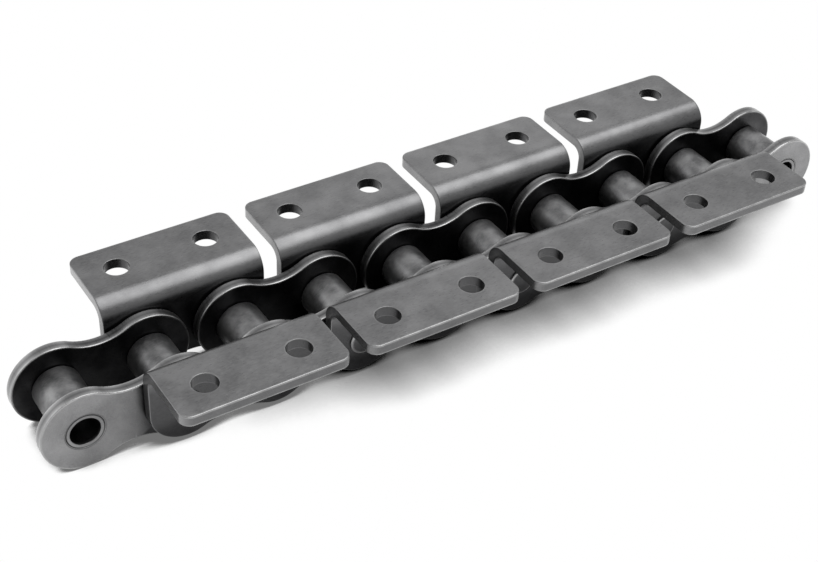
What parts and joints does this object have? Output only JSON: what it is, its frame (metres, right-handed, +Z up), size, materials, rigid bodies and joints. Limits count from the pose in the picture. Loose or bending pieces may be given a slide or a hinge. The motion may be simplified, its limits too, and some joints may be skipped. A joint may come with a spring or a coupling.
{
  "type": "roller conveyor chain with bent attachment plates",
  "caption": "Straight run of steel roller chain whose outer link plates bend outwards into level flanges with two bolt holes, for carrying slats or cleats.",
  "frame": {"origin": "middle of the chain's length and width, on the surface that the inner link plates lie on", "axes": "+X along the chain, +Y across it towards the rear flanges, +Z up, the way the flanges face"},
  "size_m": [0.2516, 0.069, 0.0274],
  "materials": {
    "inner_plate_steel": "dark satin, worn bright along the edges",
    "attachment_steel": "dark satin, worn bright along the edges",
    "bush_steel": "dark satin, ends ground",
    "roller_steel": "grey satin, polished by running",
    "pin_steel": "dark satin, ends spread by riveting"
  },
  "bodies": {
    "inner_link_1": {"inner_plate_front_1": "inner_plate_steel", "inner_plate_rear_1": "inner_plate_steel", "bush_1": "bush_steel", "bush_2": "bush_steel"},
    "inner_link_2": {"inner_plate_front_2": "inner_plate_steel", "inner_plate_rear_2": "inner_plate_steel", "bush_3": "bush_steel", "bush_4": "bush_steel"},
    "inner_link_3": {"inner_plate_front_3": "inner_plate_steel", "inner_plate_rear_3": "inner_plate_steel", "bush_5": "bush_steel", "bush_6": "bush_steel"},
    "inner_link_4": {"inner_plate_front_4": "inner_plate_steel", "inner_plate_rear_4": "inner_plate_steel", "bush_7": "bush_steel", "bush_8": "bush_steel"},
    "inner_link_5": {"inner_plate_front_5": "inner_plate_steel", "inner_plate_rear_5": "inner_plate_steel", "bush_9": "bush_steel", "bush_10": "bush_steel"},
    "outer_link_1": {"attachment_plate_front_1": "attachment_steel", "attachment_plate_rear_1": "attachment_steel", "pin_1": "pin_steel", "pin_2": "pin_steel"},
    "outer_link_2": {"attachment_plate_front_2": "attachment_steel", "attachment_plate_rear_2": "attachment_steel", "pin_3": "pin_steel", "pin_4": "pin_steel"},
    "outer_link_3": {"attachment_plate_front_3": "attachment_steel", "attachment_plate_rear_3": "attachment_steel", "pin_5": "pin_steel", "pin_6": "pin_steel"},
    "outer_link_4": {"attachment_plate_front_4": "attachment_steel", "attachment_plate_rear_4": "attachment_steel", "pin_7": "pin_steel", "pin_8": "pin_steel"},
    "roller_body_1": {"roller_1": "roller_steel"},
    "roller_body_2": {"roller_2": "roller_steel"},
    "roller_body_3": {"roller_3": "roller_steel"},
    "roller_body_4": {"roller_4": "roller_steel"},
    "roller_body_5": {"roller_5": "roller_steel"},
    "roller_body_6": {"roller_6": "roller_steel"},
    "roller_body_7": {"roller_7": "roller_steel"},
    "roller_body_8": {"roller_8": "roller_steel"},
    "roller_body_9": {"roller_9": "roller_steel"},
    "roller_body_10": {"roller_10": "roller_steel"}
  },
  "joints": [
    {"name": "link_joint_5", "type": "hinge", "parent": "inner_link_3", "child": "outer_link_3", "pos_m": [0.0127, 0, 0.0115], "axis": [0, 1, 0], "range_deg": [-9, 36]},
    {"name": "link_joint_6", "type": "hinge", "parent": "outer_link_3", "child": "inner_link_4", "pos_m": [0.0381, 0, 0.0115], "axis": [0, 1, 0], "range_deg": [-9, 36]},
    {"name": "link_joint_7", "type": "hinge", "parent": "inner_link_4", "child": "outer_link_4", "pos_m": [0.0635, 0, 0.0115], "axis": [0, 1, 0], "range_deg": [-9, 36]},
    {"name": "link_joint_8", "type": "hinge", "parent": "outer_link_4", "child": "inner_link_5", "pos_m": [0.0889, 0, 0.0115], "axis": [0, 1, 0], "range_deg": [-9, 36]},
    {"name": "link_joint_4", "type": "hinge", "parent": "inner_link_3", "child": "outer_link_2", "pos_m": [-0.0127, 0, 0.0115], "axis": [0, -1, 0], "range_deg": [-9, 36]},
    {"name": "link_joint_3", "type": "hinge", "parent": "outer_link_2", "child": "inner_link_2", "pos_m": [-0.0381, 0, 0.0115], "axis": [0, -1, 0], "range_deg": [-9, 36]},
    {"name": "link_joint_2", "type": "hinge", "parent": "inner_link_2", "child": "outer_link_1", "pos_m": [-0.0635, 0, 0.0115], "axis": [0, -1, 0], "range_deg": [-9, 36]},
    {"name": "link_joint_1", "type": "hinge", "parent": "outer_link_1", "child": "inner_link_1", "pos_m": [-0.0889, 0, 0.0115], "axis": [0, -1, 0], "range_deg": [-9, 36]},
    {"name": "roller_spin_1", "type": "hinge", "parent": "inner_link_1", "child": "roller_body_1", "pos_m": [-0.1143, 0, 0.0115], "axis": [0, 1, 0], "continuous": true},
    {"name": "roller_spin_2", "type": "hinge", "parent": "inner_link_1", "child": "roller_body_2", "pos_m": [-0.0889, 0, 0.0115], "axis": [0, 1, 0], "continuous": true},
    {"name": "roller_spin_3", "type": "hinge", "parent": "inner_link_2", "child": "roller_body_3", "pos_m": [-0.0635, 0, 0.0115], "axis": [0, 1, 0], "continuous": true},
    {"name": "roller_spin_4", "type": "hinge", "parent": "inner_link_2", "child": "roller_body_4", "pos_m": [-0.0381, 0, 0.0115], "axis": [0, 1, 0], "continuous": true},
    {"name": "roller_spin_5", "type": "hinge", "parent": "inner_link_3", "child": "roller_body_5", "pos_m": [-0.0127, 0, 0.0115], "axis": [0, 1, 0], "continuous": true},
    {"name": "roller_spin_6", "type": "hinge", "parent": "inner_link_3", "child": "roller_body_6", "pos_m": [0.0127, 0, 0.0115], "axis": [0, 1, 0], "continuous": true},
    {"name": "roller_spin_7", "type": "hinge", "parent": "inner_link_4", "child": "roller_body_7", "pos_m": [0.0381, 0, 0.0115], "axis": [0, 1, 0], "continuous": true},
    {"name": "roller_spin_8", "type": "hinge", "parent": "inner_link_4", "child": "roller_body_8", "pos_m": [0.0635, 0, 0.0115], "axis": [0, 1, 0], "continuous": true},
    {"name": "roller_spin_9", "type": "hinge", "parent": "inner_link_5", "child": "roller_body_9", "pos_m": [0.0889, 0, 0.0115], "axis": [0, 1, 0], "continuous": true},
    {"name": "roller_spin_10", "type": "hinge", "parent": "inner_link_5", "child": "roller_body_10", "pos_m": [0.1143, 0, 0.0115], "axis": [0, 1, 0], "continuous": true}
  ]
}
